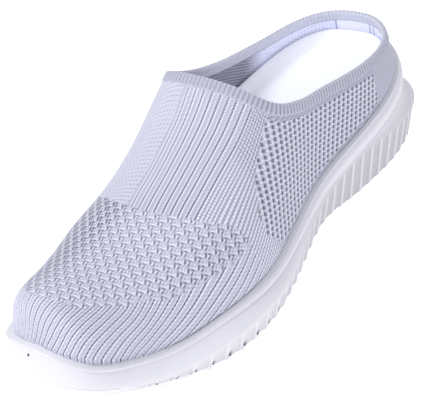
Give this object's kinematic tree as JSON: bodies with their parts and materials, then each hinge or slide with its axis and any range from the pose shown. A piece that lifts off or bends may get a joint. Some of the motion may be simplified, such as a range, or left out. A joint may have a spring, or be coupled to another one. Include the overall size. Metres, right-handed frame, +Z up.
{
  "type": "slip-on sneaker",
  "caption": "Knit slip-on mule sneaker, right foot: hollow knit upper with ribbed collar, cupped foam midsole with rolled rand, ribbed outsole.",
  "frame": {"origin": "on the floor under the middle of the sole's bounding box", "axes": "+Z up, toe along -Y, heel along +Y, inner side of the right foot along +X"},
  "size_m": [0.0983, 0.262, 0.0806],
  "materials": {
    "upper_knit": "flat knit, pale lavender grey",
    "insole_foam": "smooth white sockliner",
    "midsole_foam": "smooth white moulded foam",
    "outsole_rubber": "matte off-white, ribbed"
  },
  "bodies": {
    "root": {"upper": "upper_knit", "insole": "insole_foam", "midsole": "midsole_foam", "outsole": "outsole_rubber"}
  },
  "joints": []
}
